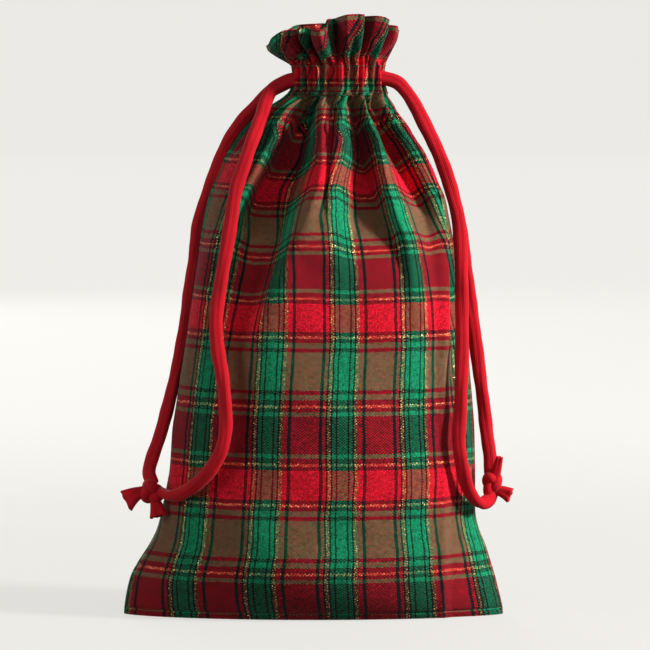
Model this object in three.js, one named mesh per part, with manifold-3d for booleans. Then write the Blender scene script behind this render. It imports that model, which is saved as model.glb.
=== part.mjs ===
// A drawstring gift sack of plaid cotton, standing filled and drawn shut.
// Two panels are sewn together down the sides and along the bottom. Their top edges are turned in
// and stitched twice round, which leaves a casing under a loose header. Two knit cords run through
// the casing, one out at each side, and the two ends of each cord are knotted together.
// Units are millimetres. +Z is up, +X is to the viewer's right, -Y is the front, and the origin is
// the middle of the base.
import * as THREE from "three";
import { mergeVertices } from "three/addons/utils/BufferGeometryUtils.js";
import Module from "manifold-3d";

const wasm = await Module();
wasm.setup();

// Driving sizes of the cloth shell.
const SACK_HEIGHT = 300;
const BASE_WIDTH = 189; // between the two sewn corners, which is the flat width of the panels
const BODY_WIDTH = 151; // across the filled body
const BODY_DEPTH = 88;
const CLOTH = 1.2;
const HEADER_HEIGHT = 25.5; // loose ruffle above the casing
const HEADER_WIDTH = 66;
const HEADER_DEPTH = 50;
const NECK_OFFSET = 12.5; // the drawn neck leans this far to the right of the base
const BODY_LEAN = 6;
const NECK_HOLE_WIDTH = 18;
const NECK_HOLE_DEPTH = 16;

// Cord, casing and seams.
const CORD_DIAMETER = 6.5;
const CORD_CLEARANCE = 0.5;
const TOUCH_GAP = 0.3; // between pieces that are sewn or pressed together
const CORD_PULL = 8; // how far a loop draws out of the closed neck
const CORD_PAIR_GAP = 0.9; // between the front and back strand where they leave the casing
const EXIT_STUB = 4.5; // cord that stands out of the casing before it bends
const SEAM_ALLOWANCE = 6;
const SEAM_THICKNESS = 1.6;
const SEAM_CLEARANCE = 1.2; // from the sharp inside corner of the cloth to the allowance
const STITCH_DIAMETER = 0.8;

const SEGMENTS_ROUND = 40;
const CORD_SIDES = 10;

// What follows from those sizes.
const CORD_RADIUS = CORD_DIAMETER / 2;
const CORD_PAIR_SPACING = CORD_DIAMETER + CORD_PAIR_GAP;
const CASING_HEIGHT = 2 * CORD_DIAMETER + 3 * CORD_CLEARANCE + 2 * CLOTH;
const NECK_TOP = SACK_HEIGHT - HEADER_HEIGHT;
const NECK_BOTTOM = NECK_TOP - CASING_HEIGHT;
const LOWER_CORD_Z = NECK_BOTTOM + CLOTH + CORD_CLEARANCE + CORD_RADIUS;
const UPPER_CORD_Z = LOWER_CORD_Z + CORD_DIAMETER + CORD_CLEARANCE;
// The casing is as wide as its hole, two walls of cloth each side, and the cord with room to slide.
const TUNNEL_WIDTH = CORD_PULL + CORD_RADIUS + CORD_CLEARANCE;
const TUNNEL_DEPTH = CORD_DIAMETER + 2 * CORD_CLEARANCE + 2;
const NECK_HALF_WIDTH = NECK_HOLE_WIDTH / 2 + 2 * CLOTH + TUNNEL_WIDTH;
const NECK_HALF_DEPTH = NECK_HOLE_DEPTH / 2 + 2 * CLOTH + TUNNEL_DEPTH;

// Cross-sections from the base to the neck, as shares of the height up to the neck.
// sharpness 1 is an ellipse, and a larger one draws the sides out to flat sewn corners.
const BODY_SECTIONS = [
  { rise: 0, width: BASE_WIDTH, depth: BODY_DEPTH * 0.9, lean: 0, sharpness: 1.8 },
  { rise: 0.04, width: BASE_WIDTH * 0.985, depth: BODY_DEPTH * 0.97, lean: 0, sharpness: 1.8 },
  { rise: 0.09, width: BASE_WIDTH * 0.95, depth: BODY_DEPTH, lean: 0.05, sharpness: 1.6 },
  { rise: 0.16, width: BASE_WIDTH * 0.85, depth: BODY_DEPTH, lean: 0.25, sharpness: 1.3 },
  { rise: 0.23, width: BODY_WIDTH * 1.01, depth: BODY_DEPTH, lean: 0.6, sharpness: 1.1 },
  { rise: 0.32, width: BODY_WIDTH, depth: BODY_DEPTH, lean: 0.8, sharpness: 1 },
  { rise: 0.46, width: BODY_WIDTH * 0.98, depth: BODY_DEPTH * 0.98, lean: 1, sharpness: 1 },
  { rise: 0.6, width: BODY_WIDTH * 0.91, depth: BODY_DEPTH * 0.94, lean: 1.1, sharpness: 1 },
  { rise: 0.72, width: BODY_WIDTH * 0.83, depth: BODY_DEPTH * 0.88, lean: 1.15, sharpness: 1 },
  { rise: 0.82, width: BODY_WIDTH * 0.73, depth: BODY_DEPTH * 0.8, lean: 1.1, sharpness: 1 },
  { rise: 0.9, width: BODY_WIDTH * 0.6, depth: BODY_DEPTH * 0.7, lean: 1.1, sharpness: 1 },
  { rise: 0.96, width: BODY_WIDTH * 0.45, depth: BODY_DEPTH * 0.58, lean: 1.3, sharpness: 1 },
].map(({ rise, width, depth, lean, sharpness }) => ({
  z: rise * NECK_BOTTOM,
  halfWidth: Math.max(width / 2, rise < 0.5 ? 0 : NECK_HALF_WIDTH),
  halfDepth: Math.max(depth / 2, rise < 0.5 ? 0 : NECK_HALF_DEPTH),
  centre: lean * BODY_LEAN,
  sharpness,
}));
const neckSection = (z) => ({
  z,
  halfWidth: NECK_HALF_WIDTH,
  halfDepth: NECK_HALF_DEPTH,
  centre: NECK_OFFSET,
  sharpness: 1,
});
const HEADER_SECTIONS = [
  { z: NECK_TOP + HEADER_HEIGHT * 0.45, open: 0.75, lean: 0.85 },
  { z: SACK_HEIGHT, open: 1, lean: 0.8 },
].map(({ z, open, lean }) => ({
  z,
  halfWidth: THREE.MathUtils.lerp(NECK_HALF_WIDTH, HEADER_WIDTH / 2, open),
  halfDepth: THREE.MathUtils.lerp(NECK_HALF_DEPTH, HEADER_DEPTH / 2, open),
  centre: NECK_OFFSET * lean,
  sharpness: 1,
}));
const SECTIONS = [
  ...BODY_SECTIONS,
  neckSection(NECK_BOTTOM),
  neckSection(NECK_TOP),
  ...HEADER_SECTIONS,
];

// The outer cross-section at any height.
function sectionAt(z) {
  const above = SECTIONS.findIndex((s) => s.z >= z);
  const upper = SECTIONS[above < 0 ? SECTIONS.length - 1 : Math.max(above, 1)];
  const lower = SECTIONS[SECTIONS.indexOf(upper) - 1];
  const share = THREE.MathUtils.clamp((z - lower.z) / (upper.z - lower.z), 0, 1);
  const between = (key) => THREE.MathUtils.lerp(lower[key], upper[key], share);
  return {
    z,
    halfWidth: between("halfWidth"),
    halfDepth: between("halfDepth"),
    centre: between("centre"),
    sharpness: between("sharpness"),
  };
}

const insetBy = (inset) => (s) => ({
  ...s,
  halfWidth: s.halfWidth - inset,
  halfDepth: s.halfDepth - inset,
});

// A ring of the sack's own cross-section, halfWidth and halfDepth given.
const ringAt = (z, halfWidth, halfDepth) => ({ ...sectionAt(z), halfWidth, halfDepth });

// Turns a profile of cross-sections into a closed surface round the sack's axis. A section of no
// width is a point on the axis. A closed profile makes a ring.
function roundSolid(profile, closed = false) {
  const rows = closed ? [...profile, profile[0]] : profile;
  const unit = rows.map((s, row) => new THREE.Vector2(s.halfWidth > 0 ? 1 : 0, row));
  const geometry = new THREE.LatheGeometry(unit, SEGMENTS_ROUND);
  const position = geometry.getAttribute("position");
  for (let i = 0; i < position.count; i++) {
    const s = rows[Math.round(position.getY(i))];
    const across = position.getX(i);
    const back = -position.getZ(i);
    const bulge = Math.sign(back) * Math.abs(back) ** s.sharpness;
    position.setXYZ(i, s.centre + s.halfWidth * across, s.halfDepth * bulge, s.z);
  }
  return solidOf(geometry);
}

// A geometry as a manifold solid, and back again.
function solidOf(geometry) {
  const bare = geometry.clone();
  bare.deleteAttribute("normal");
  bare.deleteAttribute("uv");
  const merged = mergeVertices(bare, 1e-4);
  return new wasm.Manifold(
    new wasm.Mesh({
      numProp: 3,
      vertProperties: new Float32Array(merged.getAttribute("position").array),
      triVerts: new Uint32Array(merged.index.array),
    }),
  );
}

function geometryOf(solid) {
  const mesh = solid.getMesh();
  const geometry = new THREE.BufferGeometry();
  geometry.setAttribute("position", new THREE.BufferAttribute(mesh.vertProperties, 3));
  geometry.setIndex(new THREE.BufferAttribute(mesh.triVerts, 1));
  geometry.computeVertexNormals();
  return geometry;
}

function boxSolid(low, high) {
  const size = high.map((value, i) => value - low[i]);
  const centre = high.map((value, i) => (value + low[i]) / 2);
  return solidOf(new THREE.BoxGeometry(...size).translate(...centre));
}

// One colour each for the cloth, the thread and the knit cord.
const cloth = new THREE.MeshStandardMaterial({ color: 0x7d1420, roughness: 0.9, metalness: 0 });
const thread = new THREE.MeshStandardMaterial({ color: 0x1c3a24, roughness: 0.8, metalness: 0 });
const knit = new THREE.MeshStandardMaterial({ color: 0xc4041c, roughness: 0.75, metalness: 0 });

const sack = new THREE.Group();
function addPiece(name, geometry, material, parent = sack) {
  const mesh = new THREE.Mesh(geometry, material);
  mesh.name = name;
  parent.add(mesh);
  return mesh;
}

// ---- Cloth shell -------------------------------------------------------------------------------

const holeRing = (z, wall = 0) =>
  ringAt(z, NECK_HOLE_WIDTH / 2 + wall, NECK_HOLE_DEPTH / 2 + wall);

function clothShell() {
  const axis = (z) => ringAt(z, 0, 0);
  const floor = { ...SECTIONS[0], z: CLOTH };
  const inside = BODY_SECTIONS.filter((s) => s.z > CLOTH).map(insetBy(CLOTH));
  const headerInside = [...HEADER_SECTIONS].reverse().map(insetBy(2 * CLOTH));
  const shell = roundSolid([
    axis(0),
    ...SECTIONS,
    ...headerInside,
    holeRing(NECK_TOP),
    holeRing(NECK_BOTTOM),
    ...inside.reverse(),
    insetBy(CLOTH)(floor),
    axis(CLOTH),
  ]);
  return shell.subtract(casingTunnel());
}

// The space inside the casing, between its outer wall and the turned-in wall.
function casingTunnel() {
  const low = NECK_BOTTOM + CLOTH;
  const high = NECK_TOP - CLOTH;
  const outer = (z) => insetBy(CLOTH)(neckSection(z));
  const inner = (z) => ({ ...holeRing(z, CLOTH), centre: NECK_OFFSET });
  return roundSolid([outer(low), outer(high), inner(high), inner(low)], true);
}

// The gap in one side seam where the two strands of a cord leave the casing.
function cordExit(side, cordZ) {
  const halfGap = CORD_PAIR_SPACING / 2 + CORD_RADIUS + CORD_CLEARANCE;
  const near = NECK_OFFSET + side * (NECK_HALF_WIDTH - CLOTH - CORD_RADIUS);
  const far = NECK_OFFSET + side * (NECK_HALF_WIDTH + CORD_DIAMETER);
  const halfHeight = CORD_RADIUS + CORD_CLEARANCE / 2;
  return boxSolid(
    [Math.min(near, far), -halfGap, cordZ - halfHeight],
    [Math.max(near, far), halfGap, cordZ + halfHeight],
  );
}

// Each panel is a body piece and, above the line of its turned-in edge, a casing piece.
function addPanels() {
  const shell = clothShell()
    .subtract(cordExit(-1, LOWER_CORD_Z))
    .subtract(cordExit(1, UPPER_CORD_Z));
  const reach = BASE_WIDTH;
  const turnedEdge = BODY_SECTIONS.at(-1).z;
  const levels = [
    ["panel", -CLOTH, turnedEdge - TOUCH_GAP / 2],
    ["casing", turnedEdge + TOUCH_GAP / 2, SACK_HEIGHT + CLOTH],
  ];
  for (const [level, low, high] of levels) {
    const front = boxSolid([-reach, -reach, low], [reach, -TOUCH_GAP / 2, high]);
    const back = boxSolid([-reach, TOUCH_GAP / 2, low], [reach, reach, high]);
    addPiece(`front_${level}`, geometryOf(shell.intersect(front)), cloth);
    addPiece(`back_${level}`, geometryOf(shell.intersect(back)), cloth);
  }
}

// ---- Seams -------------------------------------------------------------------------------------

// A flat strip in the middle plane of the sack, from an outline of [x, z] points.
function seamStrip(outline) {
  const shape = new THREE.Shape(outline.map(([x, z]) => new THREE.Vector2(x, z)));
  const geometry = new THREE.ExtrudeGeometry(shape, {
    depth: SEAM_THICKNESS,
    bevelEnabled: false,
  });
  return geometry.rotateX(Math.PI / 2).translate(0, SEAM_THICKNESS / 2, 0);
}

// The overlocked allowances stand inside the sack, down each side and along the bottom.
function addSeams() {
  const bottomLow = CLOTH + TOUCH_GAP;
  const bottomHigh = bottomLow + SEAM_ALLOWANCE;
  const sideLow = bottomHigh + TOUCH_GAP;
  const sideHigh = BODY_SECTIONS.at(-1).z - 2 * TOUCH_GAP;
  const heights = [
    sideLow,
    ...BODY_SECTIONS.map((s) => s.z).filter((z) => z > sideLow && z < sideHigh),
    sideHigh,
  ];
  for (const [name, side] of [
    ["left_side_seam", -1],
    ["right_side_seam", 1],
  ]) {
    const edge = (z, inset) => {
      const s = sectionAt(z);
      return [s.centre + side * (s.halfWidth - inset), z];
    };
    const freeInset = CLOTH + SEAM_CLEARANCE + SEAM_ALLOWANCE;
    const wallSide = heights.map((z) => edge(z, CLOTH + SEAM_CLEARANCE));
    const freeSide = heights.map((z) => edge(z, freeInset));
    addPiece(name, seamStrip([...wallSide, ...freeSide.reverse()]), thread);
  }
  const corner = (z, side) => {
    const s = sectionAt(z);
    return s.centre + side * (s.halfWidth - CLOTH - SEAM_CLEARANCE);
  };
  addPiece(
    "bottom_seam",
    seamStrip([
      [corner(bottomLow, -1), bottomLow],
      [corner(bottomLow, 1), bottomLow],
      [corner(bottomHigh, 1), bottomHigh],
      [corner(bottomHigh, -1), bottomHigh],
    ]),
    thread,
  );
}

// A row of stitching round the outside of the neck.
function stitchRing(z) {
  const out = TOUCH_GAP + STITCH_DIAMETER / 2;
  const sides = 6;
  const profile = Array.from({ length: sides }, (_, i) => {
    const turn = (2 * Math.PI * i) / sides;
    const stand = out + (STITCH_DIAMETER / 2) * Math.cos(turn);
    const height = z + (STITCH_DIAMETER / 2) * Math.sin(turn);
    return insetBy(-stand)(neckSection(height));
  });
  return geometryOf(roundSolid(profile, true));
}

function addStitching() {
  addPiece("lower_casing_stitching", stitchRing(NECK_BOTTOM + CLOTH), thread);
  addPiece("upper_casing_stitching", stitchRing(NECK_TOP - CLOTH), thread);
}

// ---- Cords -------------------------------------------------------------------------------------

const cordSection = new THREE.Shape(
  new THREE.EllipseCurve(0, 0, CORD_RADIUS, CORD_RADIUS)
    .getPoints(CORD_SIDES)
    .slice(0, CORD_SIDES),
);

function cordTube(points, steps) {
  const path = new THREE.CatmullRomCurve3(
    points.map((p) => new THREE.Vector3(...p)),
    false,
    "centripetal",
  );
  return new THREE.ExtrudeGeometry(cordSection, { extrudePath: path, steps });
}

// Where the straight end of a strand starts inside the casing, and where it bends outside.
const STUB_INNER = NECK_HALF_WIDTH - CLOTH - CORD_PULL;
const STUB_OUTER = NECK_HALF_WIDTH + EXIT_STUB;
// Both bending ends are domed and stand back from the pivot, so that they roll past each other.
const SWING_LIMIT = THREE.MathUtils.degToRad(65);
const DOME_STAND_OFF = CORD_RADIUS / Math.cos(SWING_LIMIT / 2) + TOUCH_GAP / 2;

// A cord inside the casing. It runs round the far side and ends beside its two straight ends.
function casingRun(side, cordZ) {
  const roundX = NECK_HALF_WIDTH - CLOTH - CORD_CLEARANCE - CORD_RADIUS;
  const roundY = NECK_HALF_DEPTH - CLOTH - 2 * CORD_CLEARANCE - CORD_RADIUS;
  const besideEnd = CORD_PAIR_SPACING / 2 + 1.75 * CORD_RADIUS;
  const lastTurn = Math.PI - Math.asin(besideEnd / roundY);
  const bends = 12;
  const points = Array.from({ length: bends + 1 }, (_, i) => {
    const turn = lastTurn * (1 - (2 * i) / bends);
    const across = NECK_OFFSET - side * roundX * Math.cos(turn);
    return [across, -roundY * Math.sin(turn), cordZ];
  });
  return cordTube(points, 40);
}

// The straight end of a strand where it leaves the casing, with a domed outer end.
function exitStub(side, y, cordZ) {
  const from = NECK_OFFSET + side * STUB_INNER;
  const to = NECK_OFFSET + side * (STUB_OUTER - DOME_STAND_OFF);
  const tube = cordTube(
    [
      [from, y, cordZ],
      [to, y, cordZ],
    ],
    1,
  );
  return geometryOf(solidOf(tube).add(dome([to, y, cordZ])));
}

function dome(centre) {
  const sphere = new THREE.SphereGeometry(CORD_RADIUS * 0.99, CORD_SIDES, 6);
  return solidOf(sphere.rotateX(Math.PI / 2).translate(...centre));
}

// A strand that hangs from its bend to the knot, cut back from the knot that holds it.
function hangingStrand(points, knotShape) {
  const tube = solidOf(cordTube(points, 40));
  return geometryOf(tube.add(dome(points[0])).subtract(knotShape(TOUCH_GAP)));
}

// An overhand knot: a rounded body with one turn of the cord across it.
function knotSolid(centre, radii, bandTilt) {
  return (swell) => {
    const [x, y, z] = radii.map((r) => r + swell);
    const body = new THREE.SphereGeometry(1, 14, 10).scale(x, y, z);
    const band = new THREE.TorusGeometry(x * 0.72, y * 0.5, 8, 18);
    band.scale(1, 1, 1.1).rotateX(Math.PI / 2).rotateY(bandTilt);
    return solidOf(body)
      .add(solidOf(band))
      .translate(centre[0], centre[1], centre[2]);
  };
}

// A cut end of the cord: it leaves the knot narrow and flares as the knit curls open.
function flaredTail(root, tip, endWidth, endThickness, knotShape) {
  const from = new THREE.Vector3(...root);
  const along = new THREE.Vector3(...tip).sub(from);
  const start = CORD_RADIUS * 0.6;
  const profile = [
    [0, 0],
    [start, 0],
    [start * 1.05, 0.35],
    [1, 0.92],
    [0.85, 1],
    [0, 1],
  ].map(([r, h]) => new THREE.Vector2(r === 1 || r === 0.85 ? (r * endWidth) / 2 : r, h));
  const bell = new THREE.LatheGeometry(profile, 12);
  bell.scale(1, along.length(), endThickness / endWidth);
  const turn = new THREE.Quaternion().setFromUnitVectors(
    new THREE.Vector3(0, 1, 0),
    along.clone().normalize(),
  );
  bell.applyQuaternion(turn).translate(from.x, from.y, from.z);
  return geometryOf(solidOf(bell).subtract(knotShape(TOUCH_GAP)));
}

const pivotAt = (side) => NECK_OFFSET + side * STUB_OUTER;
const strandStart = (side, y, cordZ) => [
  pivotAt(side) + side * DOME_STAND_OFF,
  y,
  cordZ,
];

const frontY = -CORD_PAIR_SPACING / 2;
const backY = CORD_PAIR_SPACING / 2;

// Each cord hangs down one side. Routes are the strands' own points, by hand, from the bend down.
const CORDS = [
  {
    name: "left",
    side: -1,
    cordZ: LOWER_CORD_Z,
    knot: { centre: [-78, -9, 63], radii: [6, 5, 5.6], bandTilt: 0.7 },
    strands: {
      front: [
        strandStart(-1, frontY, LOWER_CORD_Z),
        [-20.5, -5.5, 260.6], [-23.6, -8.5, 254.5], [-25.5, -14, 247.5], [-30.5, -23, 234.6],
        [-34.7, -26.3, 222], [-37.7, -28, 212.8], [-39.6, -29, 202], [-41, -30.4, 192],
        [-45.4, -34, 165.7], [-47, -35.6, 154], [-47.4, -37, 143], [-46.4, -38.4, 133.5],
        [-44.2, -40, 121], [-42.8, -41, 105], [-42.8, -41.4, 96], [-44.6, -41, 86.5],
        [-48.6, -39, 78.4], [-54.4, -36, 71], [-61.3, -31.4, 65.4], [-68.6, -23.4, 61.4],
        [-75, -12, 62],
      ],
      back: [
        strandStart(-1, backY, LOWER_CORD_Z),
        [-22, 4.4, 259.4], [-28, 4.8, 252.8], [-34.5, 5.4, 246], [-40.7, 6.4, 237.6],
        [-45, 7.4, 229], [-50.8, 8.6, 213.8], [-53.5, 9, 206], [-57, 10, 194],
        [-59.2, 12.4, 177], [-61.8, 14.4, 160], [-64, 15.4, 143], [-67.2, 15, 125.5],
        [-71.2, 11, 108.6], [-74.8, 6, 94.5], [-77.2, 2.6, 86.5], [-80, -1.2, 78.6],
        [-81.6, -5, 71], [-79.6, -8, 66],
      ],
    },
    tails: {
      a: { root: [-81, -9, 64], tip: [-93, -11, 59], width: 8, thickness: 4.5 },
      b: { root: [-77, -10, 60], tip: [-76, -12, 51], width: 7, thickness: 4.5 },
    },
  },
  {
    name: "right",
    side: 1,
    cordZ: UPPER_CORD_Z,
    knot: { centre: [88.6, -8, 66.5], radii: [4.8, 4.6, 7], bandTilt: 0.3 },
    strands: {
      front: [
        strandStart(1, frontY, UPPER_CORD_Z),
        [47.4, -4.4, 260.5], [50.2, -5, 253], [54.8, -6, 244], [59.3, -7.2, 235],
        [63.4, -9, 225.5], [67, -10.5, 215], [69.4, -11.8, 206], [71.2, -13, 198],
        [72.4, -14.6, 186], [72.9, -18, 166], [73, -23, 137], [72.7, -25.6, 122],
        [72.2, -27.4, 105], [71.3, -28.8, 90], [72, -28.2, 82], [73.3, -26.8, 75],
        [75.2, -24.2, 67.6], [79, -19.8, 60], [83, -15.6, 57], [87, -11.6, 58.6],
        [88.6, -9.4, 62.5],
      ],
      back: [
        strandStart(1, backY, UPPER_CORD_Z),
        [47.4, 4.4, 260.5], [50.2, 5.4, 253], [54.8, 7, 244], [59.3, 9, 235], [63.4, 11, 225.5],
        [67.2, 12.6, 215], [70, 13.6, 206], [72.6, 14.4, 194], [76.4, 14.2, 168],
        [78.8, 12.4, 150], [80.6, 10.4, 136], [82.8, 8.6, 119], [84.8, 5.4, 103],
        [86.4, 0.6, 88], [87.6, -3.4, 79], [88, -7, 71],
      ],
    },
    tails: {
      a: { root: [91, -10, 69], tip: [93, -15, 81], width: 3.6, thickness: 3.2 },
      b: { root: [90, -8, 64], tip: [97, -9, 62], width: 6.5, thickness: 5 },
    },
  },
];

function addCord({ name, side, cordZ, knot, strands, tails }) {
  const knotShape = knotSolid(knot.centre, knot.radii, knot.bandTilt);
  addPiece(`${name}_cord_casing_run`, casingRun(side, cordZ), knit);
  addPiece(`${name}_front_cord_end`, exitStub(side, frontY, cordZ), knit);
  addPiece(`${name}_back_cord_end`, exitStub(side, backY, cordZ), knit);
  addPiece(`${name}_front_strand`, hangingStrand(strands.front, knotShape), knit);
  addPiece(`${name}_back_strand`, hangingStrand(strands.back, knotShape), knit);
  addPiece(`${name}_knot`, geometryOf(knotShape(0)), knit);
  for (const [letter, tail] of Object.entries(tails)) {
    addPiece(
      `${name}_knot_tail_${letter}`,
      flaredTail(tail.root, tail.tip, tail.width, tail.thickness, knotShape),
      knit,
    );
  }
}

addPanels();
addSeams();
addStitching();
CORDS.forEach(addCord);

export default sack;
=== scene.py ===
"""Looks for the plaid drawstring gift sack: gathered cloth, stitched casing and knotted knit cords.

Shapes are worked out in millimetres and made into meshes in metres. +X is the viewer's right,
-Y the front and +Z up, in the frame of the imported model.
"""

import math

import bpy
import numpy as np
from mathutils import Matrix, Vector


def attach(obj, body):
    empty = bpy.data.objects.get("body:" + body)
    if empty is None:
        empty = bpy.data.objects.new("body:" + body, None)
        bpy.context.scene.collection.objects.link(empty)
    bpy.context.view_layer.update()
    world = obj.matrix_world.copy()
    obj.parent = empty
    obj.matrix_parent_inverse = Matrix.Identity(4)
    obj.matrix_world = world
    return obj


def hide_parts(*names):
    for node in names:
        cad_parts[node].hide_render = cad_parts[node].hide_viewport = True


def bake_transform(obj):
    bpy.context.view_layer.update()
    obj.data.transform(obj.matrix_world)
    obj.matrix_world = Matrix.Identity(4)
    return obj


MM = 0.001
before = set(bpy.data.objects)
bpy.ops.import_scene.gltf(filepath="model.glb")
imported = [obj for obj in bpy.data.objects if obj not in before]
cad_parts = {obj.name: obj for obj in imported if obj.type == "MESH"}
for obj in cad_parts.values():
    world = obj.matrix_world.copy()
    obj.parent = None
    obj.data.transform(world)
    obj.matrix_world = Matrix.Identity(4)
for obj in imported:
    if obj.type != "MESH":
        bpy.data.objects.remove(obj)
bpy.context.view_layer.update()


# ---- Camera and stage -----------------------------------------------------------------------


def make_camera():
    """A long lens, nearly level with the middle of the sack and straight in front of it."""
    tilt = math.radians(3.8)
    distance = 2.2
    width_seen = 0.3224
    aim = Vector((5.7, 0, 144.2)) * MM
    away = Vector((0, -math.cos(tilt), math.sin(tilt)))
    data = bpy.data.cameras.new("camera")
    data.sensor_width = 36
    data.lens = data.sensor_width * distance / width_seen
    data.clip_end = 20
    camera = bpy.data.objects.new("camera", data)
    camera.location = aim + away * distance
    camera.rotation_euler = (-away).to_track_quat("-Z", "Y").to_euler()
    bpy.context.scene.collection.objects.link(camera)
    bpy.context.scene.camera = camera


def mesh_object(name, vertices, faces, smooth=True):
    """A mesh object from vertices in millimetres."""
    data = bpy.data.meshes.new(name)
    points = np.asarray(vertices, float) * MM
    data.from_pydata(points.tolist(), [], faces)
    data.update()
    if smooth:
        data.polygons.foreach_set("use_smooth", [True] * len(data.polygons))
    made = bpy.data.objects.new(name, data)
    bpy.context.scene.collection.objects.link(made)
    return made


class Nodes:
    """Short ways to add and join shader nodes in one material."""

    def __init__(self, name):
        self.material = bpy.data.materials.new(name)
        self.material.use_nodes = True
        self.tree = self.material.node_tree
        self.shader = self.tree.nodes["Principled BSDF"]

    def add(self, kind, **settings):
        node = self.tree.nodes.new("ShaderNode" + kind)
        for key, value in settings.items():
            setattr(node, key, value)
        return node

    def put(self, value, socket):
        """Joins an output to a socket, or sets a constant there."""
        if isinstance(value, bpy.types.NodeSocket):
            self.tree.links.new(value, socket)
        else:
            socket.default_value = value

    def math(self, operation, first, second=0.0, third=0.0):
        node = self.add("Math", operation=operation)
        for value, socket in zip((first, second, third), node.inputs):
            self.put(value, socket)
        return node.outputs[0]

    def mix(self, share, low, high):
        """Between two colours."""
        node = self.add("Mix", data_type="RGBA")
        self.put(share, node.inputs["Factor"])
        self.put(low, node.inputs["A"])
        self.put(high, node.inputs["B"])
        return node.outputs["Result"]

    def noise(self, vector, scale, detail=2.0):
        node = self.add("TexNoise")
        self.put(vector, node.inputs["Vector"])
        self.put(scale, node.inputs["Scale"])
        self.put(detail, node.inputs["Detail"])
        return node.outputs["Fac"]

    def ramp(self, value, stops):
        """Steps of flat colour along a value."""
        node = self.add("ValToRGB")
        node.color_ramp.interpolation = "CONSTANT"
        elements = node.color_ramp.elements
        while len(elements) < len(stops):
            elements.new(0.5)
        for element, (place, _) in zip(elements, stops):
            element.position = place
        for element, (_, colour) in zip(elements, stops):
            element.color = colour
        self.put(value, node.inputs["Fac"])
        return node

    def surface(self, **values):
        """Sets or joins the shader's inputs by their names, with _ for each space."""
        for key, value in values.items():
            self.put(value, self.shader.inputs[key.replace("_", " ")])

    def bump(self, height, strength, distance):
        """Fine relief on the shader's normal."""
        node = self.add("Bump")
        for key, value in (("Strength", strength), ("Distance", distance), ("Height", height)):
            self.put(value, node.inputs[key])
        self.put(node.outputs["Normal"], self.shader.inputs["Normal"])


def make_floor():
    """A wide round floor that sweeps up into a wall, so that every view has a plain backdrop."""
    flat, sweep = 7900, 600
    wall = flat + sweep
    profile = [(600, 0), (1500, 0), (4000, 0), (flat, 0)]
    profile += [
        (flat + sweep * math.sin(a), sweep - sweep * math.cos(a))
        for a in np.linspace(0.1, math.pi / 2, 14)
    ]
    profile.append((wall, wall))
    turns = 96
    vertices = [
        (r * math.cos(2 * math.pi * k / turns), r * math.sin(2 * math.pi * k / turns), z)
        for r, z in profile
        for k in range(turns)
    ]
    vertices.append((0, 0, 0))
    hub = len(vertices) - 1
    faces = [(hub, k, (k + 1) % turns) for k in range(turns)]
    for i in range(len(profile) - 1):
        for k in range(turns):
            m = (k + 1) % turns
            low, high = i * turns, (i + 1) * turns
            faces.append((low + k, high + k, high + m, low + m))
    floor = mesh_object("floor", vertices, faces)
    floor.data.materials.append(paper_material())
    # The paper's own glow would light the cloth from below and fill its folds.
    floor.visible_diffuse = False
    floor.visible_shadow = False


def make_lights():
    """A strong light from the right, with weak wide ones from the other sides and the sky."""
    world = bpy.data.worlds.new("studio")
    world.use_nodes = True
    sky = world.node_tree.nodes["Background"]
    sky.inputs["Color"].default_value = (1, 0.985, 0.96, 1)
    sky.inputs["Strength"].default_value = 0.09
    bpy.context.scene.world = world
    bpy.context.scene.view_settings.view_transform = "Standard"
    for name, place, size, power in (
        ("key", (1.72, -0.66, 0.9), 0.30, 62),
        ("top", (0.7, -0.4, 1.8), 0.6, 5),
        ("front", (0.6, -2.4, 0.7), 0.9, 7),
        ("left", (-1.8, -0.8, 0.5), 0.8, 10),
        ("back", (-0.8, 2.3, 0.9), 1.2, 16),
    ):
        data = bpy.data.lights.new(name, "AREA")
        data.size = size
        data.energy = power
        light = bpy.data.objects.new(name, data)
        light.location = place
        toward = Vector((0, 0, 0.15)) - light.location
        light.rotation_euler = toward.to_track_quat("-Z", "Y").to_euler()
        bpy.context.scene.collection.objects.link(light)


# ---- Node materials -------------------------------------------------------------------------


RED = (0.66, 0.004, 0.020, 1)
GREEN = (0.004, 0.235, 0.100, 1)
BLACK = (0.006, 0.005, 0.006, 1)
GOLD = (0.15, 0.066, 0.020, 1)
KNIT_RED = (0.54, 0.001, 0.010, 1)

# Stripes in threads, in the order they are woven. Each list is one repeat of the pattern.
WARP = [
    (BLACK, 2), (RED, 2), (BLACK, 1), (GOLD, 2), (BLACK, 1), (GREEN, 2), (BLACK, 1),
    (GREEN, 6), (BLACK, 1), (GREEN, 2), (BLACK, 1), (GOLD, 2), (RED, 3), (BLACK, 2),
    (RED, 17),
]
WEFT = [
    (BLACK, 28), (GREEN, 3), (BLACK, 3), (GOLD, 2), (BLACK, 4), (GREEN, 4), (BLACK, 3),
    (GREEN, 28), (BLACK, 3), (GREEN, 4), (BLACK, 3), (GOLD, 2), (BLACK, 3), (RED, 22),
    (BLACK, 3), (GOLD, 2), (BLACK, 4), (GREEN, 3),
]
WARP_REPEAT = 36.9  # millimetres
WEFT_REPEAT = 82.4


def stripe_stops(stripes):
    """The stripes as colour-ramp stops. Alpha marks the metallic thread."""
    total = sum(width for _, width in stripes)
    stops = []
    at = 0.0
    for colour, width in stripes:
        stops.append((at / total, (*colour[:3], 0.0 if colour is GOLD else 1.0)))
        at += width
    return total, stops


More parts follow.
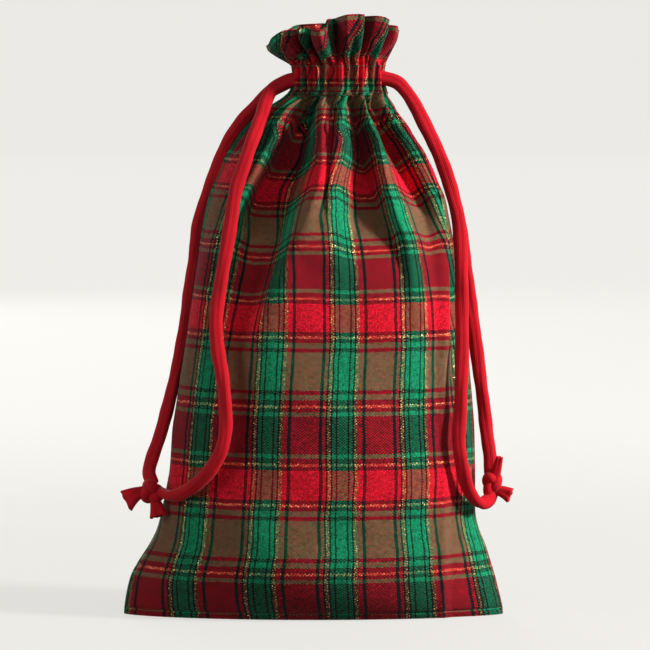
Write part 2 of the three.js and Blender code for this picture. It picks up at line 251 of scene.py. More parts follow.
def paper_material():
    """Pale paper that glows evenly, as a lit backdrop does, so that shadows on it stay pale."""
    n = Nodes("backdrop_paper")
    place = n.add("TexCoord")
    flat = n.add("VectorMath", operation="MULTIPLY")
    n.put(place.outputs["Object"], flat.inputs[0])
    n.put((1, 1, 0), flat.inputs[1])
    away = n.add("VectorMath", operation="LENGTH")
    n.put(flat.outputs["Vector"], away.inputs[0])
    grain = n.noise(place.outputs["Object"], 900.0, 3.0)
    pale = n.mix(grain, (0.145, 0.137, 0.125, 1), (0.16, 0.151, 0.139, 1))
    # The glow is a little stronger away from the sack.
    far = n.add("MapRange", interpolation_type="SMOOTHSTEP")
    n.put(away.outputs["Value"], far.inputs["Value"])
    for key, value in (
        ("From Min", 0.15), ("From Max", 1.2), ("To Min", 0.665), ("To Max", 0.805),
    ):
        n.put(value, far.inputs[key])
    n.surface(
        Base_Color=pale,
        Roughness=0.95,
        Specular_IOR_Level=0.1,
        Emission_Color=(1, 0.99, 0.955, 1),
        Emission_Strength=far.outputs["Result"],
    )
    return n.material


def plaid_material():
    """Plain-woven cloth. Each thread has its own stripe colour, and the weave's own bumps."""
    n = Nodes("plaid_cotton")
    uv = n.add("UVMap", uv_map="cloth")
    parts = n.add("SeparateXYZ")
    n.put(uv.outputs["UV"], parts.inputs["Vector"])
    # The cloth coordinate is in decimetres, so that texture scales stay ordinary.
    wander = n.noise(uv.outputs["UV"], 9.0, 3.0)
    uneven = n.noise(uv.outputs["UV"], 60.0, 2.0)
    shift = n.math("MULTIPLY", n.math("SUBTRACT", wander, 0.5), 1.1)
    shift = n.math("ADD", shift, n.math("MULTIPLY", n.math("SUBTRACT", uneven, 0.5), 0.8))
    # along counts the threads from the cloth's own corner.
    along = {}
    for key, stripes, repeat in (("X", WARP, WARP_REPEAT), ("Y", WEFT, WEFT_REPEAT)):
        mm = n.math("MULTIPLY", parts.outputs[key], 100.0)
        pitch = repeat / sum(width for _, width in stripes)
        along[key] = n.math("DIVIDE", n.math("ADD", mm, shift), pitch)
    colours = {}
    metal = {}
    streaks = {}
    for key, other, stripes in (("X", "Y", WARP), ("Y", "X", WEFT)):
        total, stops = stripe_stops(stripes)
        number = n.math("ADD", n.math("FLOOR", along[key]), 0.5)
        # Each thread is lighter and darker along its own length.
        spot = n.add("CombineXYZ")
        n.put(n.math("MULTIPLY", number, 1.7), spot.inputs["X"])
        n.put(n.math("MULTIPLY", along[other], 0.42), spot.inputs["Y"])
        streaks[key] = n.noise(spot.outputs["Vector"], 1.0, 2.0)
        place = n.math("FRACT", n.math("DIVIDE", number, total))
        node = n.ramp(place, stops)
        colours[key] = node.outputs["Color"]
        metal[key] = n.math("SUBTRACT", 1.0, node.outputs["Alpha"])
    # Warp and weft take turns on top.
    turns = n.math("ADD", n.math("FLOOR", along["X"]), n.math("FLOOR", along["Y"]))
    weft_up = n.math("MODULO", n.math("ABSOLUTE", turns), 2.0)
    warp_up = n.math("SUBTRACT", 1.0, weft_up)
    round_x = n.math("PINGPONG", along["X"], 0.5)
    round_y = n.math("PINGPONG", along["Y"], 0.5)

    def crown(across, lengthwise):
        """The height of a thread on top: round across, and dipping at its ends."""
        side = n.math("SQRT", n.math("MULTIPLY", across, 2.0))
        end = n.math("SQRT", n.math("MULTIPLY", lengthwise, 2.0))
        return n.math("ADD", n.math("MULTIPLY", side, 0.62), n.math("MULTIPLY", end, 0.38))

    def on_top(of_warp, of_weft):
        """The value that belongs to the thread on top."""
        warp = n.math("MULTIPLY", warp_up, of_warp)
        return n.math("ADD", warp, n.math("MULTIPLY", weft_up, of_weft))

    height = on_top(crown(round_x, round_y), crown(round_y, round_x))
    streak = on_top(streaks["X"], streaks["Y"])
    # Neither thread hides the other fully. Where both are coloured and differ, the weft shows
    # more and the cloth looks darker, and a black warp hides most of what crosses it.
    apart = n.add("VectorMath", operation="DISTANCE")
    n.put(colours["X"], apart.inputs[0])
    n.put(colours["Y"], apart.inputs[1])
    unlike = n.math("MINIMUM", n.math("MULTIPLY", apart.outputs["Value"], 6.0), 1.0)
    bright = {}
    for key in "XY":
        channels = n.add("SeparateColor")
        n.put(colours[key], channels.inputs["Color"])
        both = n.math("ADD", channels.outputs["Red"], channels.outputs["Green"])
        bright[key] = n.math("MINIMUM", n.math("MULTIPLY", both, 5.0), 1.0)
    mixed = n.math("MULTIPLY", unlike, n.math("MINIMUM", bright["X"], bright["Y"]))
    plain = n.math("SUBTRACT", 1.0, n.math("MAXIMUM", metal["X"], metal["Y"]))
    mixed = n.math("MULTIPLY", mixed, plain)
    weft_share = n.math("MULTIPLY_ADD", weft_up, 0.80, 0.10)
    weft_share = n.math("MULTIPLY_ADD", mixed, 0.08, weft_share)
    thin = n.math("MULTIPLY_ADD", metal["Y"], -0.5, 1.0)
    weft_share = n.math("MULTIPLY", weft_share, thin)
    colour = n.mix(weft_share, colours["X"], colours["Y"])
    shade = n.math("MULTIPLY_ADD", mixed, -0.36, 1.0)
    for dark, pale, much in (("X", "Y", -0.62), ("Y", "X", -0.26)):
        over = n.math("MULTIPLY", n.math("SUBTRACT", 1.0, bright[dark]), bright[pale])
        shade = n.math("MULTIPLY_ADD", over, much, shade)
    shine = on_top(metal["X"], metal["Y"])
    # The metallic thread is glossier in scattered spots, and its colour there is lifted to a bright
    # painted glint. The cotton varies a little from thread to thread.
    glint = n.noise(uv.outputs["UV"], 170.0, 1.0)
    fuzz = n.noise(uv.outputs["UV"], 55.0, 4.0)
    slub = n.noise(uv.outputs["UV"], 14.0, 3.0)
    light = n.math("ADD", n.math("MULTIPLY", fuzz, 0.5), n.math("MULTIPLY", slub, 0.3))
    # Painted shade: each thread's crown is lighter and the gaps between the threads darker.
    light = n.math("ADD", light, n.math("MULTIPLY", height, 0.55))
    light = n.math("ADD", light, n.math("MULTIPLY", streak, 2.8))
    # Painted glint: bright gold colour at scattered spots on the metallic thread.
    painted_glints = n.math("MULTIPLY", shine, n.math("GREATER_THAN", glint, 0.60))
    colour = n.mix(painted_glints, colour, (0.95, 0.66, 0.26, 1))
    tone = n.add("HueSaturation")
    n.put(colour, tone.inputs["Color"])
    n.put(n.math("MULTIPLY", n.math("SUBTRACT", light, 1.22), shade), tone.inputs["Value"])
    sparkle = n.math("MULTIPLY", shine, n.math("GREATER_THAN", glint, 0.56))
    n.surface(
        Base_Color=tone.outputs["Color"],
        Metallic=n.math("MULTIPLY", sparkle, 0.5),
        Roughness=n.math("SUBTRACT", 0.86, n.math("MULTIPLY", sparkle, 0.5)),
        Sheen_Weight=0.03,
        Sheen_Roughness=0.6,
        Specular_IOR_Level=0.09,
    )
    n.bump(n.math("ADD", height, n.math("MULTIPLY", fuzz, 0.5)), 0.55, 0.00022)
    return n.material


def knit_material():
    """Soft jersey cord: fine knit columns along it, with painted shade in the grooves where it
    rolls under.
    """
    n = Nodes("knit_jersey")
    uv = n.add("UVMap", uv_map="cord")
    parts = n.add("SeparateXYZ")
    n.put(uv.outputs["UV"], parts.inputs["Vector"])
    # u goes once round the cord, and v is the length in decimetres.
    column = n.math("SINE", n.math("MULTIPLY", parts.outputs["X"], 2 * math.pi * 22))
    rows = n.math("MULTIPLY", parts.outputs["Y"], 2 * math.pi * 100 / 0.9)
    slant = n.math("MULTIPLY", parts.outputs["X"], 2 * math.pi * 11)
    stitch = n.math("SINE", n.math("ADD", rows, slant))
    ribs = n.math("ADD", n.math("MULTIPLY", column, 0.6), n.math("MULTIPLY", stitch, 0.4))
    place = n.add("TexCoord")
    fuzz = n.noise(place.outputs["Object"], 2400.0, 3.0)
    patch = n.noise(place.outputs["Object"], 120.0, 2.0)
    tone = n.add("HueSaturation")
    n.put(KNIT_RED, tone.inputs["Color"])
    value = n.math("ADD", n.math("MULTIPLY", fuzz, 0.35), n.math("MULTIPLY", patch, 0.3))
    # Painted shade: the knit's grooves are a little darker than its columns and stitches.
    value = n.math("ADD", value, n.math("MULTIPLY", ribs, 0.06))
    n.put(n.math("ADD", value, 0.60), tone.inputs["Value"])
    n.surface(
        Base_Color=tone.outputs["Color"],
        Roughness=0.8,
        Specular_IOR_Level=0.14,
        Sheen_Weight=0.05,
        Sheen_Roughness=0.5,
    )
    n.bump(n.math("ADD", ribs, fuzz), 0.35, 0.00015)
    return n.material


def thread_material():
    """Dark green sewing thread with a twist."""
    n = Nodes("sewing_thread")
    place = n.add("TexCoord")
    strands = n.add("TexWave", wave_type="BANDS", bands_direction="DIAGONAL")
    n.put(place.outputs["Object"], strands.inputs["Vector"])
    n.put(900.0, strands.inputs["Scale"])
    n.put(1.5, strands.inputs["Distortion"])
    # Painted shade and light: the twist's grooves are darker green and its strands paler.
    dark = (0.006, 0.030, 0.016, 1)
    pale = (0.020, 0.085, 0.045, 1)
    n.surface(Base_Color=n.mix(strands.outputs["Fac"], dark, pale), Roughness=0.6)
    n.bump(strands.outputs["Fac"], 0.4, 0.0001)
    return n.material


# ---- The sack's outline ---------------------------------------------------------------------

# Height, left edge, right edge, half depth. The cloth's outer surface without its folds.
OUTLINE = np.array([
    (0, -94.5, 94.5, 24),
    (4, -94.3, 94.2, 30),
    (12, -93, 92.2, 37),
    (20, -91, 90.2, 41),
    (27, -87, 88, 43.6),
    (35, -81.6, 85.6, 43.8),
    (42, -78, 82.4, 43.8),
    (50, -75.8, 80.4, 43.8),
    (72, -71.4, 80.4, 43.8),
    (94, -70, 79.8, 43.6),
    (139, -62.8, 76.2, 42.6),
    (183, -56.4, 70, 39.6),
    (208, -51, 65, 36),
    (228, -42, 55.4, 31.5),
    (243, -31.5, 45.2, 27),
    (252, -22.5, 39.2, 23.6),
    (257, -14.5, 36.4, 21.4),
    (260, -10.8, 35, 19.8),
    (272, -10.6, 35, 19.6),
    (276, -12.6, 36, 20.4),
    (285, -18.6, 39, 23.5),
    (293, -22.6, 41.6, 26),
    (302, -23.6, 42.6, 27),
], float)

NECK_LOW = 259.5
NECK_HIGH = 272.5
NECK_MIDDLE = 12.3
SEAM_HEIGHT = 3.5  # the bottom seam lies just above the floor at the front


def smooth_columns(table, heights, reach=2.2):
    """Table columns at any height, with the corners between its rows rounded over."""
    fine = np.arange(-10, 320, 0.5)
    kernel = np.exp(-0.5 * (np.arange(-12, 12.5, 0.5) / reach) ** 2)
    kernel /= kernel.sum()
    result = []
    for column in table[:, 1:].T:
        values = np.interp(fine, table[:, 0], column)
        pad = len(kernel) // 2
        padded = np.pad(values, pad, mode="edge")
        result.append(np.interp(heights, fine, np.convolve(padded, kernel, "valid")))
    return result


def corner_sharpness(z):
    """1 is an ellipse. More draws the sides out into the flat sewn corners of the base."""
    return np.interp(z, [0, 12, 25, 45, 70], [1.25, 1.45, 1.45, 1.15, 1.0])


# The front's main folds from left to right. Each has its place across the front at these heights,
# how far it stands out or in, and how far it leans sideways over its neighbour.
LEVELS = np.array([100, 130, 150, 170, 187, 200, 212, 225, 238, 250, 262], float)
FRONT_FOLDS = [
    # left shoulder
    ([-56, -55, -54, -52, -48, -42, -35, -29, -23, -15, -7],
     [0, 0, 0.5, 0.8, 1, 1, 0.8, 0.5, 0.5, 1, 1],
     [0, 0, 0, 0, 0, -1, -1, -1, -1, 0, 0]),
    # hollow beside it
    ([-40, -36, -31, -27, -27, -26, -22, -14.5, -8, -5, -2],
     [0, -0.6, -3, -6.5, -9.5, -12, -14, -14, -12.5, -9, -4],
     [0, 0, 1.5, 4, 6, 8, 8, 6.5, 4.5, 2, 0]),
    # foot of the long ridge's left wall
    ([-39, -35, -30, -24, -19, -13.4, -9, -5.6, -4.4, -2.4, 0],
     [0, -0.3, -2, -5.6, -9.6, -13, -15, -15.4, -14, -10, -5],
     [0, 0, 1, 2, 3, 4, 4.4, 4, 3, 1.5, 0]),
    # the long bright ridge
    ([-34, -30, -25, -18.5, -13, -7.5, -3.2, 0, 1, 2.5, 4.4],
     [0, 0.8, 2, 2.8, 3, 3, 2.8, 2.6, 2.4, 2, 1.5],
     [0, 0, -1.4, -3, -3.6, -4, -4, -3.2, -2.6, -1.4, 0]),
    # groove down the ridge
    ([-10, -10, -8, -3, 1, 4.5, 7, 8.4, 9, 9, 9],
     [0, 0.2, 0.5, 1, 1.4, 1.2, 0.4, -0.4, -1.2, -1.8, -2],
     [0] * 11),
    # its right-hand edge
    ([3, 5, 6, 7.5, 9, 10.3, 11.8, 14.5, 17, 17.5, 14.6],
     [0, 0, 0, 0, 0.4, 1.6, 2.4, 2.8, 2.8, 2.2, 1.5],
     [0, 0, 0, 0, 0.4, 1.8, 3.2, 4, 3.6, 2, 0]),
    # hollow in the middle
    ([28, 28, 27, 24, 21.5, 20, 20, 21.3, 22.6, 21.4, 18.4],
     [0, 0, -0.6, -2, -4.6, -7, -8.5, -10, -10, -8, -5],
     [0, 0, 0, 0, -0.6, -2, -3.4, -4, -3.2, -1.4, 0]),
    # foot of the middle-right ridge's left wall
    ([47, 46, 45, 44, 41.6, 37, 33.6, 30.8, 27.4, 23.4, 20.6],
     [0, 0, -0.2, -1, -3.6, -6.6, -8.8, -10.4, -10.6, -8.4, -5],
     [0, 0, 0, 0.4, 1, 1.6, 2, 2, 1.6, 0.8, 0]),
    # middle-right ridge
    ([52, 51, 50, 49, 47, 42.5, 39, 36, 32, 26.5, 23.4],
     [0, 0.2, 0.6, 1.4, 2, 2.4, 2.6, 2.6, 2.4, 1.8, 1.2],
     [0, 0, 0, 1, 1.8, 2.6, 3, 2.8, 2.2, 1, 0]),
    # hollow under the right shoulder
    ([61, 60, 60, 59, 57.5, 55.5, 51, 45, 39, 32.4, 28],
     [0, 0, 0, -0.6, -2.4, -5, -8, -10, -10, -8, -4],
     [0, 0, 0, 0, -1, -2.2, -2.8, -2.6, -1.8, -0.6, 0]),
    # right shoulder
    ([64, 65, 65.5, 65.5, 65, 63, 59.5, 53.5, 46.6, 38.6, 32.4],
     [0.4, 1.2, 1.6, 1.8, 1.8, 1.4, 1, 1, 1, 1, 1],
     [0.4, 0.8, 1, 1, 1, 0.6, 0.4, 0.4, 0, 0, 0]),
    # the upright fold beside the right-hand cord
    ([69, 69.6, 69.2, 68, 67.2, 64.6, 61.4, 55, 48, 39.6, 33.4],
     [-1, -2.6, -3.4, -3.6, -3, -2, -1, -0.6, -0.6, 0, 0],
     [-0.4, -0.8, -1, -1, -0.8, -0.4, 0, 0, 0, 0, 0]),
]

# The header's folds at its rim: place across, how far out or in, lean, height of the rim.
FRONT_RIM = [
    (-23.4, 0, 0, 282.3),
    (-18.6, 1, 0, 286.6),
    (-12.7, 1.5, 0, 290),
    (-9, -3.5, 0.6, 290.8),
    (-6.4, 1.6, 0, 291.4),
    (-3.6, -3.5, -0.6, 290.6),
    (0, 2.6, 0, 290.4),
    (4, 3.6, 0, 290.2),
    (7, 1.5, 1.6, 290.6),
    (8.4, -2, 0.6, 295.6),
    (10.4, -8.5, 0, 295.8),
    (12.6, -2, -0.8, 296.8),
    (16.5, 1.8, 0, 297.8),
    (21, 1.6, 0, 298),
    (25, 1, 0.8, 297.8),
    (27, -5.5, 0, 296.8),
    (29.4, 0.4, -0.6, 297.2),
    (33.6, 1.2, 0.4, 296.6),
    (36.8, 0.8, 1, 295.2),
    (38.4, -4.5, 0, 293.4),
    (40.2, 0.6, 0, 292.2),
    (42.4, 0, 0, 290),
]
BACK_RIM = [
    (-23.4, 0, 0, 282.3),
    (-19, 0.6, 0, 287),
    (-14, -3, 0.8, 290.8),
    (-7.5, 0.6, 0, 292.8),
    (-1.5, -5, -0.6, 293.4),
    (4.5, 1, 0, 293.6),
    (10, -4, 1, 293),
    (17, 1.4, 0, 293.8),
    (23.5, -5.5, -0.8, 293.6),
    (30, 1, 0, 293.2),
    (35, -3.4, 0.4, 292.4),
    (39, 0.6, 0, 291.4),
    (42.4, 0, 0, 290),
]


def monotone_slopes(x, y):
    """Slopes for a cubic that doesn't overshoot its points. x is (..., n) and increases."""
    dx = np.diff(x, axis=-1)
    secant = np.diff(y, axis=-1) / dx
    left, right = secant[..., :-1], secant[..., 1:]
    same = left * right > 0
    total = np.where(same, left + right, 1.0)
    inner = np.where(same, 2 * left * right / total, 0.0)
    slopes = np.zeros_like(y)
    slopes[..., 1:-1] = inner
    return slopes


def through(x, y, at):
    """A smooth curve through the points (x, y), read at each of at."""
    order = np.argsort(x)
    x = np.maximum.accumulate(np.asarray(x, float)[order] + np.arange(len(x)) * 1e-6)
    y = np.asarray(y, float)[order]
    slopes = monotone_slopes(x, y)
    i = np.clip(np.searchsorted(x, at) - 1, 0, len(x) - 2)
    span = x[i + 1] - x[i]
    t = np.clip((at - x[i]) / span, 0, 1)
    h00 = 2 * t**3 - 3 * t**2 + 1
    h10 = t**3 - 2 * t**2 + t
    h01 = -2 * t**3 + 3 * t**2
    h11 = t**3 - t**2
    return h00 * y[i] + h10 * span * slopes[i] + h01 * y[i + 1] + h11 * span * slopes[i + 1]


DENSE = 1500
share = np.linspace(0, 1, DENSE)


def irregular_wave(count, seed, jitter=0.3):
    """Ridges of uneven width and height, from 0 in the hollows to 1 on the ridges."""
    pick = np.random.default_rng(seed)
    widths = 1 + jitter * pick.uniform(-1, 1, count)
    edges = np.concatenate([[0], np.cumsum(widths)])
    edges /= edges[-1]
    heights = 1 - 0.4 * pick.uniform(0, 1, count)
    i = np.clip(np.searchsorted(edges, share) - 1, 0, count - 1)
    t = (share - edges[i]) / (edges[i + 1] - edges[i])
    return heights[i] * np.sin(math.pi * t) ** 0.6


def base_curve(z, back):
    """One row of the cloth before its folds: x, y and the outward normal, left to right."""
    left, right, depth = smooth_columns(OUTLINE, np.array([min(z, OUTLINE[-1, 0])]))
    a = (right[0] - left[0]) / 2
    c = (right[0] + left[0]) / 2
    b = depth[0]
    q = corner_sharpness(z)
    side = 1 if back else -1
    x = c - a * np.cos(math.pi * share)
    y = side * b * np.sin(math.pi * share) ** q
    nx = np.gradient(y) * -side
    ny = np.gradient(x) * side
    size = np.hypot(nx, ny) + 1e-9
    nx, ny = nx / size, ny / size
    return x, y, nx, ny


def main_folds(z, x):
    """How far the front's main folds stand out and lean, across one row."""
    z = np.clip(z, LEVELS[0], LEVELS[-1])
    places = [np.interp(z, LEVELS, fold[0]) for fold in FRONT_FOLDS]
    out = [np.interp(z, LEVELS, fold[1]) for fold in FRONT_FOLDS]
    lean = [np.interp(z, LEVELS, fold[2]) for fold in FRONT_FOLDS]
    ends = [x[0] - 0.5, x[-1] + 0.5]
    places = [ends[0], *np.clip(places, ends[0] + 0.2, ends[1] - 0.2), ends[1]]
    return (
        through(places, [0, *out, 0], x),
        through(places, [0, *lean, 0], x),
    )


BROAD = irregular_wave(5, 5, 0.35) - 0.55
NARROW = irregular_wave(9, 6, 0.3) - 0.5


def back_folds(z):
    """The back's folds, which run down from the neck and fade by the middle."""
    broad_grow = np.interp(z, [120, 175, 215, 250, 262], [0, 3.5, 9, 7, 4])
    narrow_grow = np.interp(z, [175, 215, 245, 262], [0, 2, 5, 4])
    return BROAD * broad_grow + NARROW * narrow_grow


# The gathers at the neck and the puckers below them, for the front and for the back.
FINE = {False: irregular_wave(19, 11, 0.4), True: irregular_wave(20, 12, 0.4)}
MIDDLE = {False: irregular_wave(13, 21, 0.3), True: irregular_wave(12, 22, 0.3)}
DRIFT = np.random.default_rng(7).uniform(0, 2 * math.pi, (6, 3))


def soft_unevenness(z, back):
    """Slow bumps and dents that keep the filled cloth from looking turned on a lathe."""
    total = np.zeros(DENSE)
    for k, (phase, drift, lift) in enumerate(DRIFT):
        waves = 1.3 + 1.1 * k
        fall = 0.011 + 0.006 * k
        wave = np.sin(2 * math.pi * waves * share + phase + back * 2 + drift * z * fall)
        total += wave * np.cos(z * 0.013 * (k + 1) + lift) / (k + 1.5)
    fade = np.interp(z, [0, 10, 40, 200, 250], [0, 0.35, 0.9, 1, 0.2])
    return total * fade * 1.15 * np.sin(math.pi * share) ** 0.5


def folded_row(z, back, rim_share, strength):
    """One row of cloth with its folds, as dense points, left to right.

    rim_share is 0 below the header and 1 at its rim. strength scales the gathers.
    """
    rims = BACK_RIM if back else FRONT_RIM
    side = 1 if back else -1
    x, y, nx, ny = base_curve(z, back)
    heights = np.full(DENSE, float(z))
    out = np.zeros(DENSE)
    lean = np.zeros(DENSE)
    keep = np.interp(z, [252, 259, 266, 272], [1, 0.6, 0.3, 0.1])
    if back:
        out += back_folds(z) * keep * strength
    else:
        out, lean = main_folds(z, x)
        out, lean = out * keep * 1.35, lean * keep * 1.3
    out += soft_unevenness(z, back)
    if not back:
        # The bottom seam is drawn in a little.
        out -= 0.9 * math.exp(-(((z - SEAM_HEIGHT) / 0.6) ** 2))
    wobble = 0.0022 * np.sin(z * 0.55) + 0.0015 * np.sin(z * 0.23 + 1)
    fine = np.interp(share + wobble, share, FINE[back])
    middle = np.interp(share + wobble * 2, share, MIDDLE[back])
    fine_grow = np.interp(z, [240, 251, 258, 274, 281, 290], [0, 0.8, 1, 1, 0.35, 0])
    middle_grow = np.interp(z, [205, 235, 250, 258, 268, 278, 288], [0, 0.7, 1, 0.6, 0.3, 0.4, 0])
    gather = fine * 3.3 * fine_grow + middle * 3.0 * middle_grow
    gather -= 2.8 * fine_grow + 2.3 * middle_grow
    ends = np.clip(np.minimum(share, 1 - share) * 18, 0, 1)
    out += gather * strength * ends
    if rim_share > 0:
        places = [r[0] for r in rims]
        width = (x[-1] - x[0]) / (rims[-1][0] - rims[0][0])
        middle_x = (x[-1] + x[0]) / 2
        rim_middle = (rims[-1][0] + rims[0][0]) / 2
        at = [middle_x + (p - rim_middle) * width for p in places]
        grow = rim_share**0.8
        deep = min(strength, 1.2) if back else strength
        out += through(at, [r[1] for r in rims], x) * grow * deep
        lean += through(at, [r[2] for r in rims], x) * grow
        rim_z = through(at, [r[3] for r in rims], x)
        heights = NECK_HIGH + (rim_z - NECK_HIGH) * rim_share
    x, y = x + nx * out - ny * side * lean, y + ny * out + nx * side * lean
    # The cords inside the casing hold the cloth out.
    hold = np.interp(z, [253, 258.5, 273.5, 277], [0, 1, 1, 0])
    if hold > 0:
        reach = np.hypot((x - NECK_MIDDLE) / (20.0 * hold), y / (16.2 * hold))
        push = np.maximum(1 / reach, 1)
        x, y = NECK_MIDDLE + (x - NECK_MIDDLE) * push, y * push
    return x, y, heights, out


PANEL_WIDTH = 190.0
ROW_LENGTH = 1.03 * PANEL_WIDTH  # of a folded row, which is drawn a little fuller than flat cloth


def row_length(x, y):
    """The length gone at each point of a row."""
    return np.concatenate([[0], np.cumsum(np.hypot(np.diff(x), np.diff(y)))])


def fitted_row(z, back, rim_share):
    """The folded row whose gathers take up the cloth's whole width."""
    low, high = 0.3, 2.4
    if z < 120:
        low = high = 1.0
    for _ in range(9):
        middle = (low + high) / 2
        x, y, _, _ = folded_row(z, back, rim_share, middle)
        if row_length(x, y)[-1] > ROW_LENGTH:
            high = middle
        else:
            low = middle
    return folded_row(z, back, rim_share, (low + high) / 2)


# Height of the surface against the cloth's own length up from the fold at the floor. The cloth
# bunches towards the neck, so it has more length there than the surface shows.
CLOTH_UP = np.array([
    (0, 0), (150, 150), (184, 188), (212, 221), (225, 241), (247, 270.5),
    (254, 283), (258.5, 295), (261, 301.4), (272, 315.5), (305, 355),
], float)
RIM_CLOTH = 352.5
RIM_RISE = 27.5  # how far the header's rows are drawn up from the neck

# Where the pattern's repeats start: across each panel, and up from the fold at the floor.
WARP_START = {"front": 92.7, "back": 71.4}
WEFT_START = 1.4

# Where the header's cloth lies across its rim, against where it would lie if every gather took
# up its even share.
HEADER_SLIP = ([5.5, 42.5, 80, 122, 155, 191.5], [-28, -25, -24.2, -29.3, -25.4, -25])


COLUMNS = np.linspace(0, 1, 250)  # shares of a row's length, one for each column of points
HEADER_ROWS = 26


def panel_row(z, back, rim_share=0.0, inward=0.0, round_cords=0.0):
    """A fitted row at the panel's columns. inward moves it inside, for the turned-in cloth."""
    x, y, heights, out = fitted_row(z, back, rim_share)
    length = row_length(x, y)
    at = COLUMNS * length[-1]
    x, y, heights, out = (np.interp(at, length, v) for v in (x, y, heights, out))
    if inward:
        gx, gy = np.gradient(x), np.gradient(y)
        size = np.hypot(gx, gy) + 1e-9
        side = 1 if back else -1
        x = x + gy / size * inward * side
        y = y - gx / size * inward * side
    if round_cords:
        ring = 1 / np.hypot((x - NECK_MIDDLE) / 14.2, y / 10.4) * (1 + 0.02 * out)
        ring = 1 + (np.minimum(ring, 1) - 1) * round_cords
        x, y = NECK_MIDDLE + (x - NECK_MIDDLE) * ring, y * ring
    return x, y, heights, out


def cloth_up_to(heights, out, back):
    """How much cloth lies between the fold at the floor and each point of a row."""
    cloth = np.interp(heights, CLOTH_UP[:, 0], CLOTH_UP[:, 1])
    # Cloth in the hollows hangs lower than on the ridges.
    sag = np.interp(heights, [120, 180, 240, 256], [0, 0.75, 0.75, 0])
    cloth = cloth - sag * np.minimum(out, 0) * 0.9
    if back:
        return cloth
    # Below the bottom seam the other panel's green stripe shows.
    return np.where(heights < SEAM_HEIGHT, cloth - 3.6, cloth)


def panel_grid(back):
    """A panel's points, and the cloth that lies below each of them, row by row."""
    rows, cloth = [], []

    def add_row(z, **shape):
        x, y, heights, out = panel_row(z, back, **shape)
        rows.append(np.stack([x, y, heights], 1))
        cloth.append(cloth_up_to(heights, out, back))

    # Under the base, from the bottom seam to the fold at the floor.
    x, y, _, _ = panel_row(0.4, back)
    for t in np.linspace(0.02, 1, 12):
        rows.append(np.stack([x, y * t, np.full(len(x), 0.3)], 1))
        cloth.append(np.full(len(x), -4 - (1 - t) * 42))
    for low, high, count in ((0.8, 8.3, 16), (9.5, 238, 150), (239, NECK_HIGH, 44)):
        for z in np.linspace(low, high, count):
            add_row(z)
    neck = len(rows) - 1
    for t in np.linspace(0, 1, HEADER_ROWS)[1:]:
        add_row(NECK_HIGH + t * RIM_RISE, rim_share=t)
    top = len(rows)
    turned_in = np.linspace(1, 0, 18)
    for t in turned_in:
        add_row(NECK_HIGH + t * RIM_RISE, rim_share=max(t, 1e-3), inward=1.0)
    # The turned-in hem makes the channel that the cords run in, and is stitched down below them.
    for z in np.linspace(NECK_HIGH - 0.3, NECK_LOW + 0.3, 14):
        down = (NECK_HIGH - z) / (NECK_HIGH - NECK_LOW)
        add_row(z, inward=1.2, round_cords=math.sin(math.pi * down) ** 0.35)
    grid, cloth = np.array(rows), np.array(cloth)
    # In the header the cloth is measured down from its rim, and what is left over is bunched
    # up in the gathers just above the casing.
    steps = np.linalg.norm(np.diff(grid[neck:top], axis=0), axis=2)
    gone = np.vstack([np.zeros(len(x)), np.cumsum(steps, axis=0)])
    blend = np.clip(gone / gone[-1] / 0.4, 0, 1)
    blend = blend * blend * (3 - 2 * blend)
    from_rim = RIM_CLOTH - 1.05 * (gone[-1] - gone)
    cloth[neck:top] = cloth[neck] * (1 - blend) + from_rim * blend
    # Over the rim the pattern goes on down the inside.
    outer = cloth[neck:top].copy()
    for k, t in enumerate(turned_in, start=top):
        at = t * (HEADER_ROWS - 1)
        low = min(int(at), HEADER_ROWS - 2)
        cloth[k] = outer[low] + (outer[low + 1] - outer[low]) * (at - low)
    cloth[top:] = 2 * RIM_CLOTH - cloth[top:]
    return grid, cloth


def make_panel(name, back):
    """One panel as a single sheet, from the bottom seam up and over the header to the casing."""
    grid, cloth = panel_grid(back)
    index = np.arange(cloth.size).reshape(cloth.shape)
    a, b = index[:-1, :-1].ravel(), index[:-1, 1:].ravel()
    c, d = index[1:, 1:].ravel(), index[1:, :-1].ravel()
    quads = np.stack([a, d, c, b] if back else [a, b, c, d], 1)
    panel = mesh_object(name, grid.reshape(-1, 3), quads.tolist())
    across = np.broadcast_to(COLUMNS * PANEL_WIDTH, cloth.shape)
    # The cloth hangs a little askew, so its stripes lean in the lowest part.
    askew = np.interp(grid[:, :, 2], [0, 80], [4.6, 0])
    slip = 0
    if not back:
        slip = np.interp(across, *HEADER_SLIP)
        slip = slip * np.interp(grid[:, :, 2], [245, 262, 272, 296], [0, 0.36, 0.55, 1])
    # Whole repeats are added so that the cloth coordinate stays positive.
    u = across - WARP_START["back" if back else "front"] - askew + slip + 10 * WARP_REPEAT
    v = cloth - WEFT_START + 10 * WEFT_REPEAT
    corners = np.empty(len(panel.data.loops), int)
    panel.data.loops.foreach_get("vertex_index", corners)
    decimetres = np.stack([u.ravel()[corners], v.ravel()[corners]], 1) / 100.0
    layer = panel.data.uv_layers.new(name="cloth")
    layer.data.foreach_set("uv", decimetres.ravel())
    return panel


